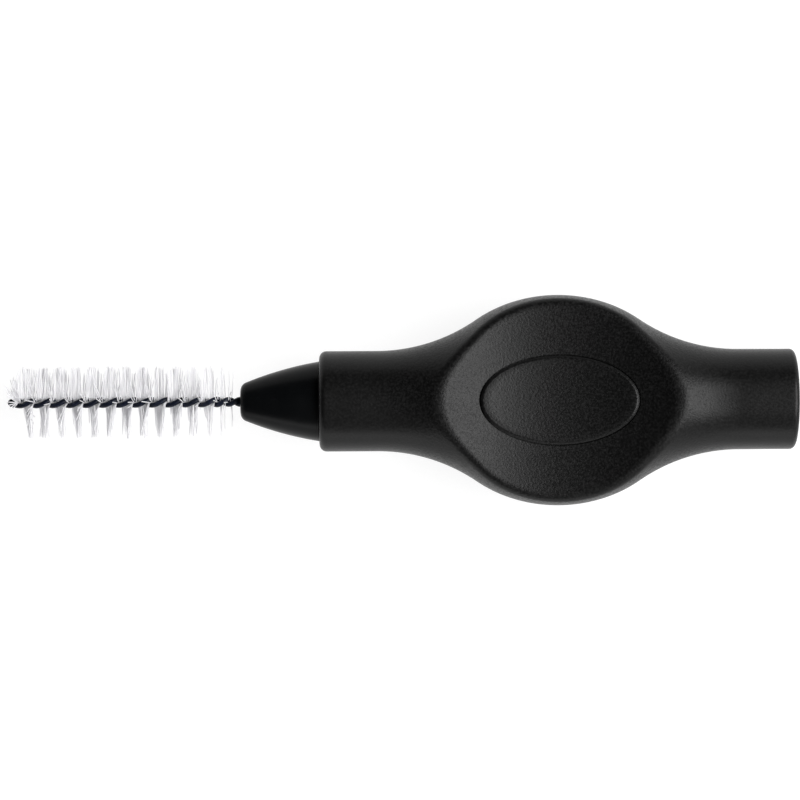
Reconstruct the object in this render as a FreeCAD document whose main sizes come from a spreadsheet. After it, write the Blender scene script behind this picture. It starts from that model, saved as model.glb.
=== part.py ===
import FreeCAD, Part
import enum
import math
import os

import Sketcher

# An interdental brush lying on its side: brush tip towards -X, grip towards +X and one
# finger dish up. The origin is the middle of the grip, on the axis of the brush.

SIZES = {
    # soft grip, a turned shape with a round collar at each end
    "collar_radius": 3.65,
    "bulb_radius": 7.6,
    "bulb_half_length": 9.24,
    "flare_radius": 12.8,
    "front_length": 17.25,
    "rear_length": 17.3,
    "collar_edge_radius": 0.5,
    "rear_edge_radius": 0.5,
    "rear_dome_radius": 31,
    # finger dish on each face, with a raised oval pad in it
    "grip_half_thickness": 2.5,
    "dish_radius": 19.8,
    "ridge_radius": 0.6,
    "pad_length": 11.4,
    "pad_width": 6.4,
    "pad_rise": 0.2,
    "pad_edge_radius": 0.12,
    # hard nose with a ringed stem that the grip is moulded over
    "nose_length": 5.7,
    "nose_base_radius": 2.9,
    "nose_tip_radius": 1.25,
    "nose_side_radius": 25,
    "nose_edge_radius": 0.6,
    "nose_gap": 0.1,
    "stem_radius": 2.0,
    "stem_length": 5.2,
    "stem_clearance": 0.03,
    "ring_radius": 2.45,
    "ring_width": 0.8,
    "ring_pitch": 1.6,
    "ring_count": 3,
    "ring_start": 0.7,
    # one coated wire, folded at the tip and twisted left-handed
    "core_diameter": 0.26,
    "coating_wall": 0.045,
    "half_turn": 1.2,
    "root_half_turn": 0.83,
    "bend_length": 1.2,
    "root_depth": 9.0,
    "bore_clearance": 0.015,
    "fold_lead": 0.12,
    # filaments pinched between the two strands, one tuft for each half turn
    "filament_diameter": 0.08,
    "pinch_clearance": 0.005,
    "brush_radius": 2.65,
    "brush_gap": 0.45,
    "tuft_count": 12,
    "filaments_per_tuft": 8,
    "lead_lean": 18,
}

NORMAL = FreeCAD.Vector(0, 0, 1)


class Spot(enum.IntEnum):
    """Which point of a sketch curve a constraint means."""

    START = 1
    END = 2
    CENTRE = 3


class Axis(enum.IntEnum):
    """The sketch's own axes, as constraints number them."""

    X = -1
    Y = -2


START, END, CENTRE = Spot
ORIGIN = (Axis.X, START)

doc = FreeCAD.newDocument("interdental_brush")
sheet = doc.addObject("Spreadsheet::Sheet", "sizes")
for row, (alias, value) in enumerate(SIZES.items(), start=1):
    sheet.set(f"A{row}", alias)
    sheet.set(f"B{row}", str(value))
    sheet.setAlias(f"B{row}", alias)
doc.recompute()


def size(alias):
    return float(sheet.get(alias))


def point(x, y):
    return FreeCAD.Vector(x, y, 0)


# Sketches and features

def new_body(name):
    body = doc.addObject("PartDesign::Body", name)
    body.Label = name
    return body


def origin_plane(body, role):
    return next(f for f in body.Origin.OriginFeatures if f.Role == role)


def new_sketch(body, name, role):
    sketch = body.newObject("Sketcher::SketchObject", name)
    sketch.AttachmentSupport = (origin_plane(body, role), [""])
    sketch.MapMode = "FlatFace"
    return sketch


def add_line(sketch, start, end):
    return sketch.addGeometry(Part.LineSegment(start, end), False)


def add_arc(sketch, centre, radius, first, last):
    """Arc drawn anticlockwise between two angles in degrees."""
    circle = Part.Circle(centre, NORMAL, radius)
    arc = Part.ArcOfCircle(circle, math.radians(first), math.radians(last))
    return sketch.addGeometry(arc, False)


def constrain(sketch, kind, *rows):
    for row in rows:
        sketch.addConstraint(Sketcher.Constraint(kind, *row))


def drawn_value(sketch, kind, items):
    """What a dimension measures on the sketch as it is drawn."""
    if kind == "Radius":
        return sketch.Geometry[items[0]].Radius
    if kind == "Distance":
        return sketch.Geometry[items[0]].length()
    gap = sketch.getPoint(*items[2:]) - sketch.getPoint(*items[:2])
    return gap.x if kind == "DistanceX" else gap.y


def dimension(sketch, kind, items, formula):
    """Sketch dimension whose value follows the sheet."""
    drawn = drawn_value(sketch, kind, items)
    index = sketch.addConstraint(Sketcher.Constraint(kind, *items, drawn))
    sketch.setExpression(f"Constraints[{index}]", formula)


def turned(body, kind, name, sketch):
    """Revolution or Groove of a sketch about the brush axis."""
    feature = body.newObject(f"PartDesign::{kind}", name)
    feature.Profile = sketch
    feature.ReferenceAxis = (sketch, ["H_Axis"])
    feature.Angle = 360
    sketch.Visibility = False
    return feature


def turned_block(body, kind, name, left, right, radius):
    """Plain turned cylinder, added or cut. Its ends are rules for their distance in front
    of the origin."""
    sketch = new_sketch(body, f"{name}_profile", "XY_Plane")
    corners = [point(-2, 0), point(-1, 0), point(-1, 1), point(-2, 1)]
    sides = [add_line(sketch, corners[i], corners[(i + 1) % 4]) for i in range(4)]
    constrain(sketch, "Coincident", *[(sides[i], END, sides[(i + 1) % 4], START) for i in range(4)])
    constrain(sketch, "Horizontal", (sides[0],), (sides[2],))
    constrain(sketch, "Vertical", (sides[1],), (sides[3],))
    constrain(sketch, "PointOnObject", (sides[0], START, Axis.X))
    dimension(sketch, "DistanceX", (sides[0], START, *ORIGIN), left)
    dimension(sketch, "DistanceX", (sides[0], END, *ORIGIN), right)
    dimension(sketch, "DistanceY", (sides[1], START, sides[1], END), radius)
    return turned(body, kind, name, sketch)


def ring_row(body, ring):
    """Repeat one turned ring along the stem."""
    row = body.newObject("PartDesign::LinearPattern", f"{ring.Name}_row")
    row.Originals = [ring]
    row.Direction = (ring.Profile[0], ["H_Axis"])
    row.Mode = "Extent"
    row.setExpression("Length", "(sizes.ring_count - 1) * sizes.ring_pitch")
    row.setExpression("Occurrences", "sizes.ring_count")
    body.Tip = row
    return row


def rounded(body, name, base, edges, radius):
    """Fillet along given edges of the body's last feature."""
    names = [f"Edge{i}" for i, e in enumerate(base.Shape.Edges, start=1) if any(e.isSame(w) for w in edges)]
    fillet = body.newObject("PartDesign::Fillet", name)
    fillet.Base = (base, names)
    fillet.setExpression("Radius", radius)
    body.Tip = fillet
    doc.recompute()
    return fillet


def rims_of_cylinders(shape, radius):
    """Outer rim edges of every cylindrical face of one radius."""
    faces = [f for f in shape.Faces if isinstance(f.Surface, Part.Cylinder)]
    return [e for f in faces if abs(f.Surface.Radius - radius) < 1e-6 for e in f.OuterWire.Edges]


# Soft grip

def flare_joint(half_length, radius, flare, collar):
    """Angle on the bulb's oval where a flare of one radius leaves it and lands on the collar."""
    low, high = 0.0, math.pi / 2
    for _ in range(60):
        angle = (low + high) / 2
        slope = math.atan2(math.sin(angle) / half_length, math.cos(angle) / radius)
        above = radius * math.cos(angle) + flare * math.cos(slope) - flare - collar
        low, high = (angle, high) if above > 0 else (low, angle)
    return angle, slope


def expose_oval(sketch, oval, length, width):
    """Fix an oval on the origin, long along X, by its two axes."""
    long_axis = sketch.GeometryCount
    sketch.exposeInternalGeometry(oval)
    constrain(sketch, "Coincident", (oval, CENTRE, *ORIGIN))
    constrain(sketch, "Horizontal", (long_axis,))
    dimension(sketch, "Distance", (long_axis,), length)
    dimension(sketch, "Distance", (long_axis + 1,), width)


def grip_profile(body):
    """Half section: collar, flare, oval bulb, flare and collar, all tangent."""
    sketch = new_sketch(body, "grip_profile", "XY_Plane")
    collar, bulb = size("collar_radius"), size("bulb_radius")
    half_length, flare = size("bulb_half_length"), size("flare_radius")
    front, rear = size("front_length"), size("rear_length")
    front_edge, rear_edge = size("collar_edge_radius"), size("rear_edge_radius")
    dome = size("rear_dome_radius")

    joint, slope = flare_joint(half_length, bulb, flare, collar)
    flare_x = half_length * math.sin(joint) + flare * math.sin(slope)
    sweep = math.degrees(slope)
    edge_y = collar - rear_edge
    edge_x = math.sqrt((dome - rear_edge) ** 2 - edge_y**2)
    dome_angle = math.degrees(math.atan2(edge_y, edge_x))
    edge_x += rear - dome

    axis = add_line(sketch, point(rear, 0), point(-front, 0))
    face = add_line(sketch, point(-front, 0), point(-front, collar - front_edge))
    lip = add_arc(sketch, point(-front + front_edge, collar - front_edge), front_edge, 90, 180)
    front_wall = add_line(sketch, point(-front + front_edge, collar), point(-flare_x, collar))
    front_flare = add_arc(sketch, point(-flare_x, collar + flare), flare, 270, 270 + sweep)
    oval = Part.Ellipse(point(half_length, 0), point(0, bulb), point(0, 0))
    top = sketch.addGeometry(Part.ArcOfEllipse(oval, math.pi / 2 - joint, math.pi / 2 + joint), False)
    rear_flare = add_arc(sketch, point(flare_x, collar + flare), flare, 270 - sweep, 270)
    rear_wall = add_line(sketch, point(flare_x, collar), point(edge_x, collar))
    heel = add_arc(sketch, point(edge_x, edge_y), rear_edge, dome_angle, 90)
    cap = add_arc(sketch, point(rear - dome, 0), dome, 0, dome_angle)

    constrain(
        sketch,
        "Tangent",
        (face, END, lip, END),
        (lip, START, front_wall, START),
        (front_wall, END, front_flare, START),
        (front_flare, END, top, END),
        (top, START, rear_flare, START),
        (rear_flare, END, rear_wall, START),
        (rear_wall, END, heel, END),
        (heel, START, cap, END),
    )
    constrain(sketch, "Coincident", (cap, START, axis, START), (axis, END, face, START))
    constrain(sketch, "Horizontal", (front_wall,), (rear_wall,))
    constrain(sketch, "Vertical", (face,))
    constrain(sketch, "PointOnObject", (axis, START, Axis.X), (axis, END, Axis.X), (cap, CENTRE, Axis.X))
    expose_oval(sketch, top, "2 * sizes.bulb_half_length", "2 * sizes.bulb_radius")
    dimension(sketch, "DistanceY", (*ORIGIN, front_wall, START), "sizes.collar_radius")
    dimension(sketch, "DistanceY", (*ORIGIN, rear_wall, END), "sizes.collar_radius")
    dimension(sketch, "DistanceX", (axis, END, *ORIGIN), "sizes.front_length")
    dimension(sketch, "DistanceX", (*ORIGIN, axis, START), "sizes.rear_length")
    dimension(sketch, "Radius", (front_flare,), "sizes.flare_radius")
    dimension(sketch, "Radius", (rear_flare,), "sizes.flare_radius")
    dimension(sketch, "Radius", (lip,), "sizes.collar_edge_radius")
    dimension(sketch, "Radius", (heel,), "sizes.rear_edge_radius")
    dimension(sketch, "Radius", (cap,), "sizes.rear_dome_radius")
    return sketch


def scooped(body, name, radius):
    """Cut by a cylinder across the grip, on the dish's own axis."""
    sketch = new_sketch(body, f"{name}_profile", "XZ_Plane")
    centre = size("grip_half_thickness") + size("dish_radius")
    circle = sketch.addGeometry(Part.Circle(point(0, centre), NORMAL, size("dish_radius")), False)
    constrain(sketch, "PointOnObject", (circle, CENTRE, Axis.Y))
    dimension(sketch, "DistanceY", (*ORIGIN, circle, CENTRE), "sizes.grip_half_thickness + sizes.dish_radius")
    dimension(sketch, "Radius", (circle,), radius)
    pocket = body.newObject("PartDesign::Pocket", name)
    pocket.Profile = sketch
    pocket.Type = "Length"
    pocket.SideType = "Symmetric"
    pocket.setExpression("Length", "4 * sizes.bulb_radius")
    sketch.Visibility = False
    return pocket


def oval_block(body):
    """Oval post that the raised pad is trimmed from."""
    sketch = new_sketch(body, "pad_outline", "XY_Plane")
    half_length, half_width = size("pad_length") / 2, size("pad_width") / 2
    oval = Part.Ellipse(point(half_length, 0), point(0, half_width), point(0, 0))
    outline = sketch.addGeometry(oval, False)
    expose_oval(sketch, outline, "sizes.pad_length", "sizes.pad_width")
    block = body.newObject("PartDesign::Pad", "pad_block")
    block.Profile = sketch
    block.Type = "Length"
    block.setExpression("Length", "sizes.grip_half_thickness + sizes.pad_length / 2")
    sketch.Visibility = False
    return block


def make_grip():
    body = new_body("grip_sleeve")
    turned(body, "Revolution", "grip_turned", grip_profile(body))
    mouth = "sizes.front_length"
    stem_end = "sizes.front_length - sizes.stem_length - sizes.stem_clearance"
    turned_block(body, "Groove", "stem_socket", mouth, stem_end, "sizes.stem_radius + sizes.stem_clearance")
    ring_front = "sizes.front_length - sizes.ring_start + sizes.stem_clearance"
    ring_rear = "sizes.front_length - sizes.ring_start - sizes.ring_width - sizes.stem_clearance"
    ring = turned_block(
        body, "Groove", "ring_socket", ring_front, ring_rear, "sizes.ring_radius + sizes.stem_clearance"
    )
    ring_row(body, ring)
    dish = scooped(body, "dish", "sizes.dish_radius")
    block = oval_block(body)
    pad = scooped(body, "pad_face", "sizes.dish_radius - sizes.pad_rise")
    both = body.newObject("PartDesign::Mirrored", "both_faces")
    both.Originals = [dish, block, pad]
    both.MirrorPlane = (origin_plane(body, "XY_Plane"), [""])
    body.Tip = both
    doc.recompute()
    ridges = rims_of_cylinders(both.Shape, size("dish_radius"))
    ridged = rounded(body, "ridge_rounding", both, ridges, "sizes.ridge_radius")
    pad_rims = rims_of_cylinders(ridged.Shape, size("dish_radius") - size("pad_rise"))
    rounded(body, "pad_rounding", ridged, pad_rims, "sizes.pad_edge_radius")
    return body


# Hard nose

def nose_profile(body):
    """Half section: blunt tip, gently rounded cone, shoulder and stem."""
    sketch = new_sketch(body, "nose_profile", "XY_Plane")
    base_x = -size("front_length") - size("nose_gap")
    tip_x = base_x - size("nose_length")
    stem_x = -size("front_length") + size("stem_length")
    base, tip, stem = size("nose_base_radius"), size("nose_tip_radius"), size("stem_radius")
    side, edge = size("nose_side_radius"), size("nose_edge_radius")

    chord = point(base_x - tip_x, base - tip)
    below = point(chord.y, -chord.x).normalize()
    middle = point((base_x + tip_x) / 2, (base + tip) / 2)
    centre = middle + below * math.sqrt(side**2 - (chord.Length / 2) ** 2)
    edge_x = tip_x + edge
    edge_y = centre.y + math.sqrt((side - edge) ** 2 - (edge_x - centre.x) ** 2)
    edge_angle = math.degrees(math.atan2(edge_y - centre.y, edge_x - centre.x))
    base_angle = math.degrees(math.atan2(base - centre.y, base_x - centre.x))

    axis = add_line(sketch, point(stem_x, 0), point(tip_x, 0))
    face = add_line(sketch, point(tip_x, 0), point(tip_x, edge_y))
    lip = add_arc(sketch, point(edge_x, edge_y), edge, edge_angle, 180)
    cone = add_arc(sketch, centre, side, base_angle, edge_angle)
    shoulder = add_line(sketch, point(base_x, base), point(base_x, stem))
    wall = add_line(sketch, point(base_x, stem), point(stem_x, stem))
    end = add_line(sketch, point(stem_x, stem), point(stem_x, 0))
    corner = sketch.addGeometry(Part.Point(point(tip_x, tip)), True)

    constrain(sketch, "Tangent", (face, END, lip, END), (lip, START, cone, END))
    constrain(
        sketch,
        "Coincident",
        (axis, END, face, START),
        (cone, START, shoulder, START),
        (shoulder, END, wall, START),
        (wall, END, end, START),
        (end, END, axis, START),
    )
    constrain(sketch, "Vertical", (face,), (shoulder,), (end,))
    constrain(sketch, "Horizontal", (wall,))
    constrain(sketch, "PointOnObject", (axis, START, Axis.X), (axis, END, Axis.X))
    constrain(sketch, "PointOnObject", (corner, START, cone), (corner, START, face))
    tip_place = "sizes.front_length + sizes.nose_gap + sizes.nose_length"
    dimension(sketch, "DistanceX", (axis, END, *ORIGIN), tip_place)
    dimension(sketch, "DistanceX", (shoulder, END, *ORIGIN), "sizes.front_length + sizes.nose_gap")
    dimension(sketch, "DistanceX", (axis, START, *ORIGIN), "sizes.front_length - sizes.stem_length")
    dimension(sketch, "DistanceY", (*ORIGIN, corner, START), "sizes.nose_tip_radius")
    dimension(sketch, "DistanceY", (*ORIGIN, shoulder, START), "sizes.nose_base_radius")
    dimension(sketch, "DistanceY", (*ORIGIN, shoulder, END), "sizes.stem_radius")
    dimension(sketch, "Radius", (cone,), "sizes.nose_side_radius")
    dimension(sketch, "Radius", (lip,), "sizes.nose_edge_radius")
    return sketch


def make_nose():
    body = new_body("nose_insert")
    turned(body, "Revolution", "nose_turned", nose_profile(body))
    ring_front = "sizes.front_length - sizes.ring_start"
    ring_rear = "sizes.front_length - sizes.ring_start - sizes.ring_width"
    ring = turned_block(body, "Revolution", "stem_ring", ring_front, ring_rear, "sizes.ring_radius")
    ring_row(body, ring)
    mouth = "sizes.front_length + sizes.nose_gap + sizes.nose_length"
    strand = "sizes.core_diameter + 2 * sizes.coating_wall"
    pair = f"{strand} + sizes.filament_diameter / 2 + sizes.pinch_clearance"
    bore_end = f"{mouth} - sizes.root_depth - ({strand}) / 2 - sizes.bore_clearance"
    bore = turned_block(body, "Groove", "wire_bore", mouth, bore_end, f"{pair} + sizes.bore_clearance")
    body.Tip = bore
    return body


# Twisted wire

NOSE_TIP = -size("front_length") - size("nose_gap") - size("nose_length")
BEND_START = NOSE_TIP - size("bend_length")
BRUSH_START = BEND_START - size("brush_gap") - size("tuft_count") * size("half_turn")
FOLD_START = BRUSH_START - size("fold_lead")
ROOT_END = NOSE_TIP + size("root_depth")
STRAND_RADIUS = size("core_diameter") / 2 + size("coating_wall")
STRAND_OFFSET = STRAND_RADIUS + size("filament_diameter") / 2 + size("pinch_clearance")


def strand_angle(x):
    """Angle of the first strand about the axis, and its rate, both in radians. The twist
    tightens over the bend, and the middle of the first tuft has the strands above each other."""
    rate = math.pi / size("half_turn")
    gain = math.pi / size("root_half_turn") - rate
    past = max(x - BEND_START, 0)
    eased = min(past, size("bend_length"))
    angle = math.pi / 2 - rate * (x - BRUSH_START - size("half_turn") / 2)
    angle -= gain * (past - eased + eased**2 / (2 * size("bend_length")))
    return angle, -rate - gain * eased / size("bend_length")


def strand_station(x, strand):
    """Point and direction, towards +X, on one of the two strands."""
    angle, rate = strand_angle(x)
    angle += strand * math.pi
    across = STRAND_OFFSET * math.cos(angle)
    up = STRAND_OFFSET * math.sin(angle)
    return FreeCAD.Vector(x, across, up), FreeCAD.Vector(1, -up * rate, across * rate).normalize()


def arc_from(start, direction, end):
    """Arc that leaves start in a direction and arrives at end."""
    chord = end - start
    along = FreeCAD.Vector(chord).normalize()
    lean = direction.getAngle(along)
    bulge = (direction - along * direction.dot(along)).normalize()
    middle = (start + end) * 0.5 + bulge * (chord.Length / 2 * math.tan(lean / 2))
    return Part.Arc(start, middle, end).toShape()


def biarc(start, leaving, end, arriving):
    """Two tangent arcs from one station to the next."""
    gap = end - start
    both = leaving + arriving
    spread = 2 * (1 - leaving.dot(arriving))
    reach = (math.sqrt(gap.dot(both) ** 2 + spread * gap.dot(gap)) - gap.dot(both)) / spread
    joint = (start + end + (leaving - arriving) * reach) * 0.5
    second = arc_from(end, arriving * -1, joint)
    first = arc_from(start, leaving, joint)
    second_forward = Part.Arc(joint, second.valueAt(middle_of(second)), end).toShape()
    return [first, second_forward]


def middle_of(edge):
    return (edge.FirstParameter + edge.LastParameter) / 2


def joined(stations):
    return [e for (p, t), (q, u) in zip(stations, stations[1:]) for e in biarc(p, t, q, u)]


def quarter_turns(start, end, half_turn):
    count = math.ceil(abs(end - start) / (half_turn / 2))
    return [start + (end - start) * i / count for i in range(count + 1)]


def head_path():
    """Down one strand to the fold, round it and back along the other strand."""
    places = quarter_turns(BEND_START, FOLD_START, size("half_turn"))
    there = [strand_station(x, 0) for x in places]
    there = [(p, t * -1) for p, t in there]
    back = [strand_station(x, 1) for x in reversed(places)]
    return joined(there + back)


def root_paths():
    """Both strands from the free wire into the nose."""
    places = quarter_turns(BEND_START, ROOT_END, size("root_half_turn"))
    return [joined([strand_station(x, strand) for x in places]) for strand in (0, 1)]


def tube(edges, radius):
    path = Part.Wire(edges)
    first = edges[0]
    ring = Part.Circle(first.valueAt(first.FirstParameter), first.tangentAt(first.FirstParameter), radius)
    solid = path.makePipeShell([Part.Wire(ring.toShape())], True, False)
    swept = math.pi * radius**2 * path.Length
    if abs(solid.Volume / swept - 1) > 0.01:
        raise ValueError(f"tube volume {solid.Volume} is not its section times its length {swept}")
    return solid


def add_shape(name, shape):
    feature = doc.addObject("Part::Feature", name)
    feature.Label = name
    feature.Shape = shape
    feature.Placement = FreeCAD.Placement()
    return feature


def make_wire(suffix, paths):
    """Steel core and the coat around it, along the same paths."""
    cores = [tube(path, size("core_diameter") / 2) for path in paths]
    coats = [tube(path, STRAND_RADIUS).cut(core) for path, core in zip(paths, cores)]
    core = add_shape(f"core_wire{suffix}", Part.makeCompound(cores))
    coat = add_shape(f"wire_coating{suffix}", Part.makeCompound(coats))
    return [core, coat]


# Bristles

BRUSH_END_RULE = (
    "-sizes.front_length - sizes.nose_gap - sizes.nose_length - sizes.bend_length - sizes.brush_gap"
)


def filament(name, half_turns, length, lean, side):
    """One filament, or half of one, that starts on the axis or below it. half_turns counts
    from the front of the brush, and the filament turns with the strands."""
    angle = -180 * (half_turns - 0.5) - 90 + 180 * side
    along = f"{BRUSH_END_RULE} - (sizes.tuft_count - {half_turns}) * sizes.half_turn"
    below = f"(sizes.brush_radius - {length})"
    base = f"vector({along}; {below} * sin({angle}) * -1; {below} * cos({angle}))"
    turn = f"rotation(vector(1; 0; 0); {angle}) * rotation(vector(0; 1; 0); -({lean}))"
    rod = doc.addObject("Part::Cylinder", name)
    rod.setExpression("Radius", "sizes.filament_diameter / 2")
    rod.setExpression("Height", length)
    rod.setExpression("Placement", f"placement({base}; {turn})")
    return rod


def make_tuft(index):
    """One half turn of filaments. In the first tuft they are bent, leaning off the fold."""
    name = f"bristle_tuft_{index + 1:02d}"
    count = int(size("filaments_per_tuft"))
    rods = []
    for i in range(count):
        half_turns = index + (i + 0.5) / count
        rod_name = f"filament_{index + 1:02d}_{i + 1}"
        if index > 0:
            rods.append(filament(rod_name, half_turns, "2 * sizes.brush_radius", "0", 0))
            continue
        lean = f"sizes.lead_lean * {1 - (i + 0.5) / count}"
        bent = doc.addObject("Part::Fuse", rod_name)
        bent.Base = filament(f"{rod_name}_up", half_turns, "sizes.brush_radius", lean, 0)
        bent.Tool = filament(f"{rod_name}_down", half_turns, "sizes.brush_radius", f"-{lean}", 1)
        rods.append(bent)
    tuft = doc.addObject("Part::Compound", name)
    tuft.Label = name
    tuft.Links = rods
    return tuft


# The whole brush

def check(nodes):
    """Stop unless every object is sound and every cut has cut something."""
    for item in doc.Objects:
        if {"Invalid", "Error"} & set(item.State):
            raise ValueError(f"{item.Name} failed: {item.State}")
        if item.TypeId in ("PartDesign::Pocket", "PartDesign::Groove"):
            if item.Shape.Volume >= item.BaseFeature.Shape.Volume:
                raise ValueError(f"{item.Name} cuts nothing")
    for node in nodes:
        if node.Shape.isNull() or not node.Shape.isValid():
            raise ValueError(f"{node.Label} has no valid shape")


def main():
    nodes = [make_grip(), make_nose()]
    nodes += make_wire("", [head_path()])
    nodes += make_wire("_root", root_paths())
    nodes += [make_tuft(i) for i in range(int(size("tuft_count")))]
    doc.recompute()
    check(nodes)
    os.makedirs("parts", exist_ok=True)
    for node in nodes:
        node.Shape.exportStep(f"parts/{node.Label}.step")


main()
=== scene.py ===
import math
import random

import bmesh
import bpy
import numpy as np
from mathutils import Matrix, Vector


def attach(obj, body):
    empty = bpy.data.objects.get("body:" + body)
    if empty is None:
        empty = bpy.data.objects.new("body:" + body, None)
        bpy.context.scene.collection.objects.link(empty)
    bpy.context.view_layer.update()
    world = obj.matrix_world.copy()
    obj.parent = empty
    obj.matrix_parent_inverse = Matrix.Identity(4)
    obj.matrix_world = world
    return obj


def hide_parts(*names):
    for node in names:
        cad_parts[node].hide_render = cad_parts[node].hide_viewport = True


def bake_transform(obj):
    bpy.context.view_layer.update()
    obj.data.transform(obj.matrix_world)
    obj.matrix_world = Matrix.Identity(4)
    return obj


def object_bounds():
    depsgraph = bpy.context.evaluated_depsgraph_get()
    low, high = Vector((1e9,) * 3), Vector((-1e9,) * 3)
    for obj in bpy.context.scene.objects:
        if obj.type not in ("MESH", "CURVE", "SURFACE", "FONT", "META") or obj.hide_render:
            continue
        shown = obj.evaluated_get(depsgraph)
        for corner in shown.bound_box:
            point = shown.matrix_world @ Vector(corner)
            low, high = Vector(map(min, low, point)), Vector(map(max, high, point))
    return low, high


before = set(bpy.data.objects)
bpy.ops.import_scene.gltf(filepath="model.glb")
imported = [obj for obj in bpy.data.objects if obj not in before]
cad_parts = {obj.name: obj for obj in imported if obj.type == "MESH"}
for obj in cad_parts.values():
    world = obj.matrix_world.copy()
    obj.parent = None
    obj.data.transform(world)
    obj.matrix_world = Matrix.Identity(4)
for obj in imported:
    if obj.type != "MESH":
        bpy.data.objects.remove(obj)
cad_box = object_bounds()

# An interdental brush lying flat: brush tip towards -X, grip towards +X, one finger dish up.
# Sizes are in millimetres here and become metres when a mesh is made.

MM = 0.001
SMOOTH_ANGLE = math.radians(40)  # sharper edges stay crisp

# soft grip: an oval bulb that flares into a collar at each end, with a dish across each face
COLLAR_RADIUS = 3.65
BULB_RADIUS = 7.65
BULB_HALF_LENGTH = 9.24
FLARE_RADIUS = 12.8
FRONT_FACE = -17.31
REAR_FACE = 17.37
COLLAR_EDGE = 0.5
REAR_EDGE = 0.38
REAR_DOME = 31.0
DISH_RADIUS = 19.8
DISH_FLOOR = 2.5
RIDGE_RADIUS = 0.45
SOCKET_RADIUS = 2.6
SOCKET_END = -11.65
SOCKET_STEP = 0.4
SECTION_STEP = 0.15
QUARTER_POINTS = 64
EDGE_POINTS = 8

# oval pad in each dish, set off by a moat
PAD_HALF_LENGTH = 5.7
PAD_HALF_WIDTH = 3.2
PAD_RISE = 0.22
PAD_EDGE_WIDTH = 0.22
PAD_EDGE_DROP = 0.15
PAD_EDGE_CURVE = 1.35
PAD_ROOT = 0.5
PAD_RINGS = 10
PAD_EDGE_RINGS = 8
OVAL_POINTS = 160
MOAT_WIDTH = 0.09
MOAT_DEPTH = 0.28

# wire, folded at the tip and twisted
BEND_START = -24.25
ROOT_END = -21.5
BRUSH_START = -39.1
HALF_TURN = 1.2
ROOT_HALF_TURN = 0.83
TIGHT_START = -25.1  # from here the twist tightens to that of the root
TIGHT_EASE = 0.5
FOLD_START = -39.22  # from here on the twist eases off to straight
FOLD_REACH = 0.42
FOLD_POINTS = 12
STRAND_RADIUS = 0.185
STRAND_SIDES = 14
STRAND_STEP = 0.05
ROOT_STEP = 0.04
STRAND_OFFSET = 0.21  # from the axis, with filaments between the strands
BARE_OFFSET = 0.178  # and without
BARE_LENGTH = 0.5

# bristles
TUFTS = 12
TUFT_COUNT = 28
BRUSH_RADIUS = 2.65
SHORTEST = 0.93  # share of the brush radius
FILAMENT_RADIUS = 0.034
FILAMENT_POINTS = 9
FILAMENT_SIDES = 6
CUT_END = 0.7  # share of the radius left at the cut
LAYER_OFFSET = 0.03  # filaments lie in two layers
SPACING_JITTER = 0.35  # share of the space between filaments
CURL = 0.07  # seeded bow along the brush
SWAY = 0.13  # seeded way of a tip along the brush
STRAY = 0.1  # seeded way of a tip round the brush
UPWARD = 0.95  # filaments on top swing towards +Y by up to 0.65 of this, in radians
CROWDING = 0.32  # all swing by up to this towards the nearer of +Y and -Y
GATHERING = 0.27  # tips shift by this share of the way to the middle of their half turn
LOOSE_TUFTS = 4  # tufts by the nose, which crowd and gather less and less
LAST_STRETCH = 1.9  # half turns that the last tuft takes up
LAST_THINNING = 1.5  # power by which it thins out

# filaments round the fold, angles in degrees
LEAD_COUNT = 18
LEAD_LEAN = 12.0
LEAD_TURN = 0.2  # radians from the top to where the first tuft leans most
LEAD_LEAST = 0.2  # least share of the lean
LEAD_ROOTS = (-0.1, 0.2)  # from the start of the fold
LEAD_SIDE = 42
LEAD_SPREAD = 40
BURST_COUNT = 5
BURST_LEAN = (8.0, 14.0)
BURST_ROOT = 0.05
BURST_SIDE = 110
BURST_SPREAD = 160
BURST_JITTER = 0.3

draw = random.Random(7)


# Materials

def linear(hex_colour):
    """sRGB hex to linear RGBA."""
    values = [int(hex_colour[i : i + 2], 16) / 255 for i in (1, 3, 5)]
    return [v / 12.92 if v <= 0.04045 else ((v + 0.055) / 1.055) ** 2.4 for v in values] + [1.0]


def add_node(tree, kind, links=None, values=None, **settings):
    """One node with its settings. links and values go by input name or number."""
    node = tree.nodes.new(kind)
    for name, value in settings.items():
        setattr(node, name, value)
    for socket, value in (values or {}).items():
        node.inputs[socket].default_value = value
    for socket, source in (links or {}).items():
        tree.links.new(source, node.inputs[socket])
    return node


def new_material(name, index, specular):
    """Material with a principled shader, and its tree and shader."""
    material = bpy.data.materials.new(name)
    material.use_nodes = True
    shader = material.node_tree.nodes["Principled BSDF"]
    shader.inputs["IOR"].default_value = index
    shader.inputs["Specular IOR Level"].default_value = specular
    return material, material.node_tree, shader


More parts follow.
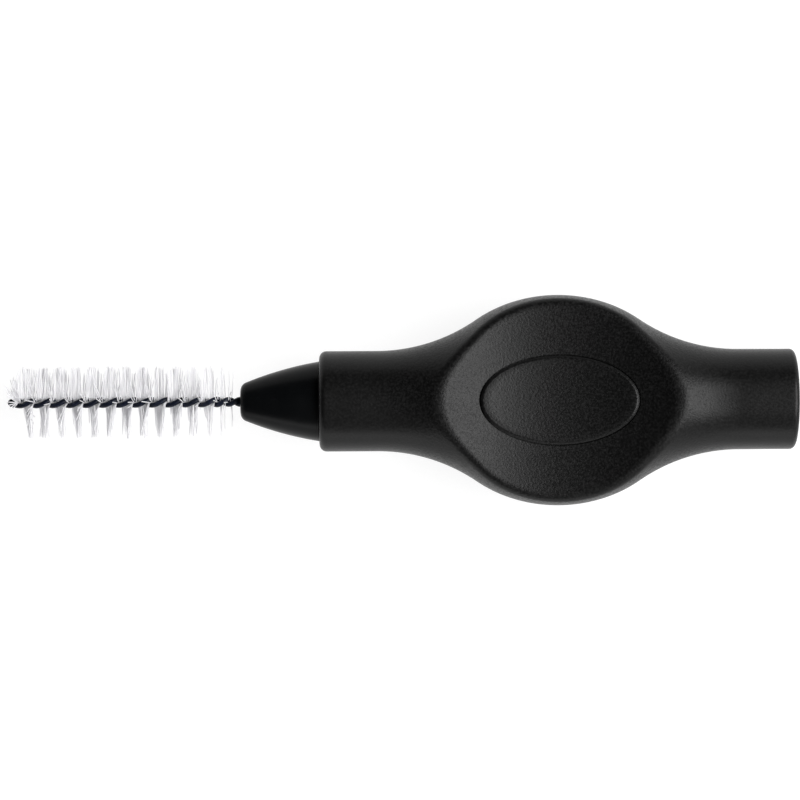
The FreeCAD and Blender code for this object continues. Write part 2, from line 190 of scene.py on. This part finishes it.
def soft_touch_elastomer():
    """Thermoplastic elastomer moulded in a spark-eroded tool: deep black, matt, with a fine grain
    that scatters light and a dusty look where it is seen edge on."""
    material, tree, shader = new_material("moulded_elastomer_black", index=1.48, specular=0.175)
    place = add_node(tree, "ShaderNodeTexCoord").outputs["Object"]
    # spark-eroded grit is about 0.03 mm; 0.16 mm is the finest that shows at this picture size
    erosion = {"Scale": 1 / (0.16 * MM), "Detail": 3.0, "Roughness": 0.6}
    grit = add_node(tree, "ShaderNodeTexNoise", {"Vector": place}, erosion).outputs["Fac"]
    # handling and mould flow, patches of about 4 mm
    flow = {"Scale": 1 / (4 * MM), "Detail": 4.0, "Roughness": 0.55}
    patches = add_node(tree, "ShaderNodeTexNoise", {"Vector": place}, flow).outputs["Fac"]
    colour = add_node(tree, "ShaderNodeValToRGB", {"Fac": grit})
    colour.color_ramp.elements[0].color = linear("#080808")
    colour.color_ramp.elements[0].position = 0.4
    colour.color_ramp.elements[1].color = linear("#151515")
    colour.color_ramp.elements[1].position = 0.7
    tree.links.new(colour.outputs["Color"], shader.inputs["Base Color"])
    # the tool is eroded deepest round the bulb, and the collars, past its ridges, are nearly satin
    along = add_node(tree, "ShaderNodeSeparateXYZ", {"Vector": place}).outputs["X"]
    from_middle = add_node(tree, "ShaderNodeMath", {0: along}, operation="ABSOLUTE").outputs[0]
    fading = {"From Min": 9.0 * MM, "From Max": 13.0 * MM, "To Min": 1.0, "To Max": 0.3}
    depth = add_node(tree, "ShaderNodeMapRange", {"Value": from_middle}, fading).outputs["Result"]
    pits = add_node(tree, "ShaderNodeMath", {0: grit}, {1: 0.5}, operation="SUBTRACT").outputs[0]
    grain = add_node(tree, "ShaderNodeMath", {0: pits, 1: depth}, operation="MULTIPLY").outputs[0]
    # pits scatter more than the tops between them
    wear = {"To Min": 0.31, "To Max": 0.42}
    even = add_node(tree, "ShaderNodeMapRange", {"Value": patches}, wear).outputs["Result"]
    rough = add_node(
        tree, "ShaderNodeMath", {0: grain, 2: even}, {1: 0.85}, operation="MULTIPLY_ADD"
    )
    # and the tops are all about as smooth as each other
    least = add_node(tree, "ShaderNodeMath", {0: rough.outputs[0]}, {1: 0.32}, operation="MAXIMUM")
    tree.links.new(least.outputs[0], shader.inputs["Roughness"])
    bump = add_node(tree, "ShaderNodeBump", {"Height": grain}, {"Distance": 0.028 * MM})
    tree.links.new(bump.outputs["Normal"], shader.inputs["Normal"])
    return material


def satin_polypropylene():
    """Polypropylene moulded in a smoothly blasted tool: darker and smoother than the grip, with
    a satin gloss and the faintest flow ripple."""
    material, tree, shader = new_material("moulded_polypropylene_black", index=1.49, specular=0.08)
    place = add_node(tree, "ShaderNodeTexCoord").outputs["Object"]
    # flow ripple about 1.5 mm long
    flow = {"Scale": 1 / (1.5 * MM), "Detail": 2.0}
    ripple = add_node(tree, "ShaderNodeTexNoise", {"Vector": place}, flow).outputs["Fac"]
    colour = add_node(tree, "ShaderNodeValToRGB", {"Fac": ripple})
    colour.color_ramp.elements[0].color = linear("#060708")
    colour.color_ramp.elements[1].color = linear("#0c0d0e")
    tree.links.new(colour.outputs["Color"], shader.inputs["Base Color"])
    satin = {"To Min": 0.26, "To Max": 0.34}
    rough = add_node(tree, "ShaderNodeMapRange", {"Value": ripple}, satin)
    tree.links.new(rough.outputs["Result"], shader.inputs["Roughness"])
    # blasted skin, drawn at 0.1 mm so that it shows
    blasting = {"Scale": 1 / (0.1 * MM), "Detail": 2.0}
    skin = add_node(tree, "ShaderNodeTexNoise", {"Vector": place}, blasting).outputs["Fac"]
    relief = {"Strength": 0.15, "Distance": 0.01 * MM}
    bump = add_node(tree, "ShaderNodeBump", {"Height": skin}, relief)
    tree.links.new(bump.outputs["Normal"], shader.inputs["Normal"])
    return material


def drawn_coat():
    """Polyurethane coat drawn over steel wire: a blue-black skin, smooth and glossy, that pools
    a little unevenly."""
    material, tree, shader = new_material("drawn_polyurethane_navy", index=1.5, specular=0.22)
    place = add_node(tree, "ShaderNodeTexCoord").outputs["Object"]
    # thickness of the coat varies over about 0.5 mm
    thickness = {"Scale": 1 / (0.5 * MM), "Detail": 2.0}
    pooling = add_node(tree, "ShaderNodeTexNoise", {"Vector": place}, thickness).outputs["Fac"]
    colour = add_node(tree, "ShaderNodeValToRGB", {"Fac": pooling})
    colour.color_ramp.elements[0].color = linear("#04070f")
    colour.color_ramp.elements[1].color = linear("#0e162b")
    tree.links.new(colour.outputs["Color"], shader.inputs["Base Color"])
    gloss = {"To Min": 0.28, "To Max": 0.4}
    rough = add_node(tree, "ShaderNodeMapRange", {"Value": pooling}, gloss)
    tree.links.new(rough.outputs["Result"], shader.inputs["Roughness"])
    return material


def nylon_filament():
    """Nylon drawn as thin monofilament: milky and translucent, bright where light comes through,
    with a soft sheen along its length."""
    material, tree, shader = new_material("drawn_nylon_white", index=1.53, specular=0.4)
    # drawn filaments differ from one to the next, and each is one island of the mesh
    which = add_node(tree, "ShaderNodeNewGeometry").outputs["Random Per Island"]
    colour = add_node(tree, "ShaderNodeValToRGB", {"Fac": which})
    colour.color_ramp.elements[0].color = linear("#ecebed")
    colour.color_ramp.elements[1].color = linear("#f9f9fa")
    colour.color_ramp.elements[1].position = 0.6
    tree.links.new(colour.outputs["Color"], shader.inputs["Base Color"])
    place = add_node(tree, "ShaderNodeTexCoord").outputs["Object"]
    # the skin is rubbed unevenly over about 0.3 mm
    rubbing = {"Scale": 1 / (0.3 * MM), "Detail": 2.0}
    rub = add_node(tree, "ShaderNodeTexNoise", {"Vector": place}, rubbing).outputs["Fac"]
    sheen = {"To Min": 0.3, "To Max": 0.42}
    rough = add_node(tree, "ShaderNodeMapRange", {"Value": rub}, sheen)
    tree.links.new(rough.outputs["Result"], shader.inputs["Roughness"])
    # a filament this thin lets through about as much light as it sends back
    through = add_node(tree, "ShaderNodeBsdfTranslucent", {"Color": colour.outputs["Color"]})
    shaders = {1: shader.outputs["BSDF"], 2: through.outputs["BSDF"]}
    both = add_node(tree, "ShaderNodeMixShader", shaders, {"Fac": 0.55})
    tree.links.new(both.outputs[0], tree.nodes["Material Output"].inputs["Surface"])
    return material


# Meshes

def grid_faces(rows, columns):
    """Quads between rings of points, each ring closed."""
    faces = []
    for row in range(rows - 1):
        start, above = row * columns, (row + 1) * columns
        for column in range(columns):
            after = (column + 1) % columns
            faces.append((start + column, start + after, above + after, above + column))
    return faces


def closed_skin(rings, first_pole, last_pole):
    """Points and faces of a skin over closed rings, drawn to a pole at each end."""
    columns = len(rings[0])
    points = np.concatenate([*rings, [first_pole], [last_pole]])
    faces = grid_faces(len(rings), columns)
    first, last = len(points) - 2, len(points) - 1
    top = (len(rings) - 1) * columns
    for column in range(columns):
        after = (column + 1) % columns
        faces.append((first, after, column))
        faces.append((last, top + column, top + after))
    return points, faces


def tube(points, radii, sides):
    """Points and faces of a round tube along a line of points, drawn to a pole at each end."""
    along = np.gradient(points, axis=0)
    along /= np.linalg.norm(along, axis=1)[:, None]
    across = np.cross(along[0], (0.31, 0.47, 0.83))  # any direction that no tube starts along
    turn = np.linspace(0, 2 * math.pi, sides, endpoint=False)
    rings = []
    for place, direction, radius in zip(points, along, radii):
        across = across - direction * across.dot(direction)
        across /= np.linalg.norm(across)
        up = np.cross(direction, across)
        rings.append(place + radius * (np.outer(np.cos(turn), across) + np.outer(np.sin(turn), up)))
    return closed_skin(rings, points[0], points[-1])


def new_piece(name, skins, material):
    """One object from several closed skins, in metres."""
    mesh = bpy.data.meshes.new(name)
    points, faces = [], []
    for skin_points, skin_faces in skins:
        offset = len(points)
        points.extend(map(tuple, skin_points * MM))
        faces.extend(tuple(i + offset for i in face) for face in skin_faces)
    mesh.from_pydata(points, [], faces)
    shell = bmesh.new()
    shell.from_mesh(mesh)
    bmesh.ops.recalc_face_normals(shell, faces=shell.faces)
    shell.to_mesh(mesh)
    shell.free()
    mesh.shade_smooth()
    mesh.set_sharp_from_angle(angle=SMOOTH_ANGLE)
    mesh.materials.append(material)
    piece = bpy.data.objects.new(name, mesh)
    bpy.context.scene.collection.objects.link(piece)
    return piece


def shape(piece, cutters, additions):
    """Cut some closed pieces out of one, unite others with it, and remove them."""
    tools = [("DIFFERENCE", tool) for tool in cutters] + [("UNION", tool) for tool in additions]
    for operation, tool in tools:
        step = piece.modifiers.new(operation, "BOOLEAN")
        step.operation = operation
        step.solver = "EXACT"
        step.object = tool
    graph = bpy.context.evaluated_depsgraph_get()
    mesh = bpy.data.meshes.new_from_object(piece.evaluated_get(graph))
    piece.modifiers.clear()
    piece.data = mesh
    for _, tool in tools:
        bpy.data.objects.remove(tool)
    mesh.set_sharp_from_angle(angle=SMOOTH_ANGLE)


# Soft grip

def flare_ends(halvings=60):
    """Distances from the middle at which a flare leaves the bulb's oval and meets the collar."""
    low, high = 0.0, math.pi / 2
    for _ in range(halvings):
        angle = (low + high) / 2
        slope = math.atan2(math.sin(angle) / BULB_HALF_LENGTH, math.cos(angle) / BULB_RADIUS)
        above = BULB_RADIUS * math.cos(angle) + FLARE_RADIUS * (math.cos(slope) - 1) - COLLAR_RADIUS
        low, high = (angle, high) if above > 0 else (low, angle)
    top = BULB_HALF_LENGTH * math.sin(angle)
    return top, top + FLARE_RADIUS * math.sin(slope)


FLARE_TOP, FLARE_FOOT = flare_ends()


def turned_radius(x):
    """Radius of the grip before the dishes: oval bulb, flares and collars."""
    reach = np.abs(x)
    oval = BULB_RADIUS * np.sqrt(np.clip(1 - (reach / BULB_HALF_LENGTH) ** 2, 0, None))
    run = np.clip(FLARE_FOOT - reach, 0, FLARE_RADIUS)
    flare = COLLAR_RADIUS + FLARE_RADIUS - np.sqrt(FLARE_RADIUS**2 - run**2)
    return np.where(reach < FLARE_TOP, oval, flare)


def dish_height(x, rise):
    """Height above the axis of a surface that keeps rise above the floor of the dish."""
    return DISH_FLOOR + DISH_RADIUS - np.sqrt((DISH_RADIUS - rise) ** 2 - x**2)


def grip_sections(x, samples=500, halvings=40):
    """Closed sections across the grip, with rounded ridges where the dishes cut it. Points are
    spread evenly along each section."""
    radius = turned_radius(x)[:, None]
    lean = 1 / np.sqrt(1 + np.gradient(radius[:, 0], x) ** 2)[:, None]
    angle = np.linspace(0, math.pi / 2, samples)[None, :]
    low, high = np.zeros((len(x), samples)), np.repeat(radius, samples, axis=1)
    for _ in range(halvings):
        reach = (low + high) / 2
        wall = (reach - radius) * lean
        dish = DISH_RADIUS - np.hypot(x[:, None], DISH_FLOOR + DISH_RADIUS - reach * np.sin(angle))
        corner = np.hypot(np.maximum(wall + RIDGE_RADIUS, 0), np.maximum(dish + RIDGE_RADIUS, 0))
        outside = np.minimum(np.maximum(wall, dish), -RIDGE_RADIUS) + corner > 0
        low, high = np.where(outside, low, reach), np.where(outside, reach, high)
    across, up = low * np.cos(angle), low * np.sin(angle)
    steps = np.hypot(np.diff(across), np.diff(up))
    walked = np.concatenate([np.zeros((len(x), 1)), np.cumsum(steps, axis=1)], axis=1)
    sections = []
    for place, y, z, way in zip(x, across, up, walked):
        even = np.linspace(0, way[-1], QUARTER_POINTS + 1)
        y, z = np.interp(even, way, y), np.interp(even, way, z)
        ring_y = np.concatenate([y[:-1], -y[:0:-1], -y[:-1], y[:0:-1]])
        ring_z = np.concatenate([z[:-1], z[:0:-1], -z[:-1], -z[:0:-1]])
        sections.append(np.stack([np.full(len(ring_y), place), ring_y, ring_z], axis=1))
    return sections


def circle_ring(x, radius):
    """Round section with as many points as the sections across the grip."""
    count = 4 * QUARTER_POINTS
    angle = np.linspace(0, 2 * math.pi, count, endpoint=False)
    return np.stack([np.full(count, x), radius * np.cos(angle), radius * np.sin(angle)], axis=1)


def grip_shell():
    """Skin of the grip from the bottom of its socket over the front face to the rear dome."""
    lip = COLLAR_RADIUS - COLLAR_EDGE
    heel = COLLAR_RADIUS - REAR_EDGE
    heel_x = REAR_FACE - REAR_DOME + math.sqrt((REAR_DOME - REAR_EDGE) ** 2 - heel**2)
    heel_angle = math.atan2(heel, heel_x - REAR_FACE + REAR_DOME)
    socket = np.arange(SOCKET_END, FRONT_FACE, -SOCKET_STEP)
    rings = [circle_ring(x, SOCKET_RADIUS) for x in socket]
    rings += [circle_ring(FRONT_FACE, radius) for radius in (SOCKET_RADIUS, lip)]
    for angle in np.linspace(0, math.pi / 2, EDGE_POINTS)[1:-1]:
        x = FRONT_FACE + COLLAR_EDGE * (1 - math.cos(angle))
        rings.append(circle_ring(x, lip + COLLAR_EDGE * math.sin(angle)))
    count = int((heel_x - FRONT_FACE) / SECTION_STEP)
    rings += grip_sections(np.linspace(FRONT_FACE + COLLAR_EDGE, heel_x, count))
    for angle in np.linspace(math.pi / 2, heel_angle, EDGE_POINTS)[1:]:
        x = heel_x + REAR_EDGE * math.cos(angle)
        rings.append(circle_ring(x, heel + REAR_EDGE * math.sin(angle)))
    for angle in np.linspace(heel_angle, 0, EDGE_POINTS)[1:-1]:
        x = REAR_FACE - REAR_DOME * (1 - math.cos(angle))
        rings.append(circle_ring(x, REAR_DOME * math.sin(angle)))
    return closed_skin(rings, (SOCKET_END, 0, 0), (REAR_FACE, 0, 0))


def oval_ring(side, inset, rise, scale=1.0):
    """Ring that keeps inset inside the pad's outline, rise above the floor of the dish."""
    turn = np.linspace(0, 2 * math.pi, OVAL_POINTS, endpoint=False)
    x = scale * (PAD_HALF_LENGTH - inset) * np.cos(turn)
    y = scale * (PAD_HALF_WIDTH - inset) * np.sin(turn)
    return np.stack([x, y, dish_height(x, rise) * side], axis=1)


def oval_block(side, rings, top, bottom):
    """Skin over oval rings, closed over the middle of the dish at two heights."""
    return closed_skin(rings, *[(0, 0, dish_height(0, rise) * side) for rise in (top, bottom)])


def pad_block(side):
    """Raised oval with a sloping edge, rooted below the floor of the dish."""
    scales = np.linspace(1 / PAD_RINGS, 1, PAD_RINGS)
    rings = [oval_ring(side, PAD_EDGE_WIDTH, PAD_RISE, scale) for scale in scales]
    for down in np.linspace(0, 1, PAD_EDGE_RINGS + 1)[1:]:
        rise = PAD_RISE - PAD_EDGE_DROP * down**PAD_EDGE_CURVE
        rings.append(oval_ring(side, PAD_EDGE_WIDTH * (1 - down), rise))
    rings.append(oval_ring(side, 0, -PAD_ROOT))
    return oval_block(side, rings, PAD_RISE, -PAD_ROOT)


def moat_block(side):
    """Cutter for the narrow moat that sets the pad off from the dish."""
    rings = [oval_ring(side, -MOAT_WIDTH, rise) for rise in (PAD_RISE, -MOAT_DEPTH)]
    return oval_block(side, rings, PAD_RISE, -MOAT_DEPTH)


def make_grip(material):
    """The grip, whose soft neck runs between the bulb and the nose's stem."""
    grip = new_piece("grip", [grip_shell()], material)
    faces = (("up", 1), ("down", -1))
    moats = [new_piece(f"moat_{name}", [moat_block(side)], material) for name, side in faces]
    pads = [new_piece(f"pad_{name}", [pad_block(side)], material) for name, side in faces]
    shape(grip, moats, pads)
    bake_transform(grip)
    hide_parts("grip_sleeve")


# Twisted wire

def strand_angle(x):
    """Angle of the first strand about the axis. The twist tightens towards the nose, and eases
    off before the fold."""
    rate = math.pi / HALF_TURN
    gain = math.pi / ROOT_HALF_TURN - rate
    past = np.maximum(x - TIGHT_START, 0)
    eased = np.minimum(past, TIGHT_EASE)
    turned = rate * (x - BRUSH_START - HALF_TURN / 2)
    turned += gain * (past - eased + eased**2 / (2 * TIGHT_EASE))
    turned += rate * np.maximum(FOLD_START - x, 0) ** 2 / (2 * FOLD_REACH)
    return math.pi / 2 - turned


def strand(x, number):
    """Line of one strand. Past the bristles the two strands close up on each other."""
    angle = strand_angle(x) + number * math.pi
    bare = np.clip((x - BEND_START + BARE_LENGTH) / BARE_LENGTH, 0, 1)
    offset = STRAND_OFFSET + (BARE_OFFSET - STRAND_OFFSET) * bare
    return np.stack([x, offset * np.cos(angle), offset * np.sin(angle)], axis=1)


def fold(first, second):
    """Half circle from the end of one strand round to the start of the other."""
    middle, arm = (first[-1] + second[0]) / 2, (first[-1] - second[0]) / 2
    turn = np.linspace(0, math.pi, FOLD_POINTS + 2)[1:-1, None]
    return middle + np.cos(turn) * arm - np.sin(turn) * (STRAND_OFFSET, 0, 0)


def wire_tube(line):
    return tube(line, np.full(len(line), STRAND_RADIUS), STRAND_SIDES)


def make_wire(material):
    """One wire down to the fold and back, and its two ends in front of the nose."""
    down = np.arange(BEND_START, FOLD_START - FOLD_REACH, -STRAND_STEP)
    first, second = strand(down, 0), strand(down[::-1], 1)
    line = np.concatenate([first, fold(first, second), second])
    head = new_piece("twisted_wire", [wire_tube(line)], material)
    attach(head, "brush_head")
    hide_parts("wire_coating", "core_wire")
    into = np.arange(BEND_START, ROOT_END, ROOT_STEP)
    ends = [wire_tube(strand(into, number)) for number in (0, 1)]
    root = new_piece("twisted_wire_root", ends, material)
    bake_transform(root)
    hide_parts("wire_coating_root", "core_wire_root")


# Bristles

def filament_length():
    return BRUSH_RADIUS * draw.uniform(SHORTEST, 1.0)


def half_filament(x, angle, length, drift, shift):
    """One side of a filament, from the pinch between the strands to its cut end. drift and
    seeded bends carry the tip along the brush and round it."""
    t = np.linspace(0, 1, FILAMENT_POINTS)
    reach = t * length
    curl = draw.gauss(0, CURL)
    drift += draw.gauss(0, SWAY)
    along = x + drift * t + curl * (t**2 - t)
    side = draw.gauss(0, STRAY) * t**2 + shift
    y = reach * math.cos(angle) - side * math.sin(angle)
    z = reach * math.sin(angle) + side * math.cos(angle)
    radii = np.full(len(t), FILAMENT_RADIUS)
    radii[-1] *= CUT_END
    return tube(np.stack([along, y, z], axis=1), radii, FILAMENT_SIDES)


def tuft_skins(index):
    """Filaments of one half turn. In the first tuft they lean off the fold, most of all those on
    top. The last tuft thins out into the bend, towards the nose."""
    last = index == TUFTS - 1
    gathering = GATHERING * min((TUFTS - 1 - index) / LOOSE_TUFTS, 1)
    crowding = CROWDING * min((TUFTS - 0.5 - index) / LOOSE_TUFTS, 1)
    skins = []
    for i in range(TUFT_COUNT):
        share = (i + 0.5 + draw.uniform(-SPACING_JITTER, SPACING_JITTER)) / TUFT_COUNT
        if last:
            share = LAST_STRETCH * share**LAST_THINNING
        x = BRUSH_START + (index + share) * HALF_TURN
        angle = float(strand_angle(x)) - math.pi / 2
        past_middle = -math.remainder(angle, math.pi) * HALF_TURN / math.pi
        shift = LAYER_OFFSET * (1 if i % 2 else -1)
        for side in (0, 1):
            length = filament_length()
            way = angle + side * math.pi
            way -= UPWARD * max(math.sin(way), 0) * (1 + math.cos(way)) / 2
            way -= crowding * math.sin(2 * way)
            lean = -LEAD_LEAN * (1 - share) * math.sin(way + LEAD_TURN) if index == 0 else 0.0
            drift = math.tan(math.radians(lean)) * length - gathering * past_middle
            skins.append(half_filament(x, way, length, drift, shift * (1 - 2 * side)))
    return skins


def lead_skins():
    """Filaments that stand round the fold, on its upper side, and lean off it."""
    skins = []
    for _ in range(LEAD_COUNT):
        turn = draw.uniform(0, 1)
        x = FOLD_START + draw.uniform(*LEAD_ROOTS)
        length = filament_length()
        lean = -LEAD_LEAN * min(2 * turn, 1) * draw.uniform(LEAD_LEAST, 1)
        drift = math.tan(math.radians(lean)) * length
        way = math.radians(LEAD_SIDE + LEAD_SPREAD * turn)
        skins.append(half_filament(x, way, length, drift, 0))
    return skins


def burst_skins():
    """Filaments that stand up out of the fold and fan out round the tip."""
    skins = []
    for i in range(BURST_COUNT):
        turn = i + 0.5 + draw.uniform(-BURST_JITTER, BURST_JITTER)
        bearing = math.radians(BURST_SIDE + BURST_SPREAD * turn / BURST_COUNT)
        lean = math.radians(draw.uniform(*BURST_LEAN))
        length = filament_length()
        across = length * math.sin(lean) * math.sin(bearing)
        up = length * math.cos(lean)
        drift = length * math.sin(lean) * math.cos(bearing)
        way, reach = math.atan2(up, across), math.hypot(up, across)
        skins.append(half_filament(FOLD_START - BURST_ROOT, way, reach, drift, 0))
    return skins


def make_bristles(material):
    """One piece for each tuft. All but the last ride on the brush head."""
    bundles = [tuft_skins(0) + lead_skins()]
    bundles += [tuft_skins(index) for index in range(1, TUFTS)]
    bundles[0] += burst_skins()
    for index, skins in enumerate(bundles):
        number = f"{index + 1:02d}"
        tuft = new_piece(f"tuft_{number}", skins, material)
        if index < TUFTS - 1:
            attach(tuft, "brush_head")
        else:
            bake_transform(tuft)
        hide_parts(f"bristle_tuft_{number}")


make_grip(soft_touch_elastomer())
make_wire(drawn_coat())
make_bristles(nylon_filament())
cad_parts["nose_insert"].data.materials.clear()
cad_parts["nose_insert"].data.materials.append(satin_polypropylene())


# Stage: white paper sweep, a large soft light on the right and a weak low one in front, in metres

PAPER_GLOW = 0.86
PAPER_FADE = (0.08, 0.5)  # between these distances from the middle the glow grows to 1
SWEEP = [(2.6, 0.6), (2.5, 0.3), (2.2, 0.12), (1.8, 0.03), (1.4, 0), (0.3, 0)]
SWEEP_POINTS = 64
ROOM_LIGHT = (0.8, -0.45, 0.4)


def seen_rays(tree):
    """1 for rays that show the background: to the camera, off gloss or through clear things."""
    path = add_node(tree, "ShaderNodeLightPath").outputs
    straight = {0: path["Is Camera Ray"], 1: path["Is Glossy Ray"]}
    either = add_node(tree, "ShaderNodeMath", straight, operation="MAXIMUM").outputs[0]
    through = {0: either, 1: path["Is Transmission Ray"]}
    return add_node(tree, "ShaderNodeMath", through, operation="MAXIMUM").outputs[0]


def paper_white():
    """White paper: mostly its own white to the eye, so that only a soft shadow shows."""
    material = bpy.data.materials.new("paper_sweep_white")
    material.use_nodes = True
    tree = material.node_tree
    tree.nodes.clear()
    # the lamps fade with distance, and the glow makes up for it, so that the paper stays one white
    place = add_node(tree, "ShaderNodeTexCoord").outputs["Object"]
    distance = add_node(tree, "ShaderNodeVectorMath", {0: place}, operation="LENGTH")
    near, far = PAPER_FADE
    growth = {"From Min": near, "From Max": far, "To Min": PAPER_GLOW, "To Max": 1.0}
    level = add_node(tree, "ShaderNodeMapRange", {"Value": distance.outputs["Value"]}, growth)
    factors = {0: seen_rays(tree), 1: level.outputs["Result"]}
    strength = add_node(tree, "ShaderNodeMath", factors, operation="MULTIPLY").outputs[0]
    matt = add_node(tree, "ShaderNodeBsdfDiffuse", values={"Color": linear("#808080")})
    white = {"Color": linear("#ffffff")}
    glow = add_node(tree, "ShaderNodeEmission", {"Strength": strength}, white)
    both = add_node(tree, "ShaderNodeAddShader", {0: matt.outputs[0], 1: glow.outputs[0]})
    add_node(tree, "ShaderNodeOutputMaterial", {"Surface": both.outputs[0]})
    return material


def lay_paper(z, material):
    """Flat paper that curls up far from the object on every side. Its rings go from the outside
    in, so that all its faces look up."""
    turn = np.linspace(0, 2 * math.pi, SWEEP_POINTS, endpoint=False)
    rings = []
    for radius, height in SWEEP:
        level = np.full(SWEEP_POINTS, z + height)
        rings.append(np.stack([radius * np.cos(turn), radius * np.sin(turn), level], axis=1))
    points = np.concatenate([*rings, [(0, 0, z)]])
    faces = grid_faces(len(rings), SWEEP_POINTS)
    inner, middle = (len(rings) - 1) * SWEEP_POINTS, len(points) - 1
    faces += [(middle, inner + i, inner + (i + 1) % SWEEP_POINTS) for i in range(SWEEP_POINTS)]
    mesh = bpy.data.meshes.new("paper_sweep")
    mesh.from_pydata(points.tolist(), [], faces)
    mesh.shade_smooth()
    mesh.materials.append(material)
    paper = bpy.data.objects.new("paper_sweep", mesh)
    bpy.context.scene.collection.objects.link(paper)


def soft_box(name, place, aim, width, height, power):
    light = bpy.data.lights.new(name, "AREA")
    light.shape = "RECTANGLE"
    light.size, light.size_y, light.energy = width, height, power
    lamp = bpy.data.objects.new(name, light)
    lamp.location = place
    lamp.rotation_euler = (Vector(aim) - Vector(place)).to_track_quat("-Z", "Y").to_euler()
    bpy.context.scene.collection.objects.link(lamp)


lay_paper(cad_box[0].z, paper_white())
soft_box(
    "front_box", place=(-0.1, -0.5, 0.06), aim=(-0.02, 0, 0), width=0.6, height=0.12, power=0.45
)
soft_box("right_box", place=(0.36, 0, 0.42), aim=(0, 0, 0), width=0.7, height=0.3, power=5.8)

world = bpy.data.worlds.new("studio")
bpy.context.scene.world = world
world.use_nodes = True
room = world.node_tree
background = room.nodes["Background"]
background.inputs["Color"].default_value = linear("#ffffff")
# the room is lighter to the right and the front, and dark behind the brush tip
direction = add_node(room, "ShaderNodeTexCoord").outputs["Generated"]
towards = add_node(
    room, "ShaderNodeVectorMath", {0: direction}, {1: ROOM_LIGHT}, operation="DOT_PRODUCT"
)
dark_to_light = {"To Min": 0.02, "To Max": 0.6}
level = add_node(room, "ShaderNodeMapRange", {"Value": towards.outputs["Value"]}, dark_to_light)
room.links.new(level.outputs["Result"], background.inputs["Strength"])

# Camera straight above, as far off as the photograph's perspective shows

CAMERA_PLACE = (-11.46 * MM, 0.07 * MM, 218.2 * MM)
CAMERA_ROLL = math.radians(-0.32)

camera_data = bpy.data.cameras.new("camera")
camera_data.sensor_width = 36
camera_data.lens = 135
camera_data.clip_start = 0.01
camera = bpy.data.objects.new("camera", camera_data)
camera.location = CAMERA_PLACE
camera.rotation_euler = (0, 0, CAMERA_ROLL)
bpy.context.scene.collection.objects.link(camera)
bpy.context.scene.camera = camera
bpy.context.scene.view_settings.view_transform = "Standard"
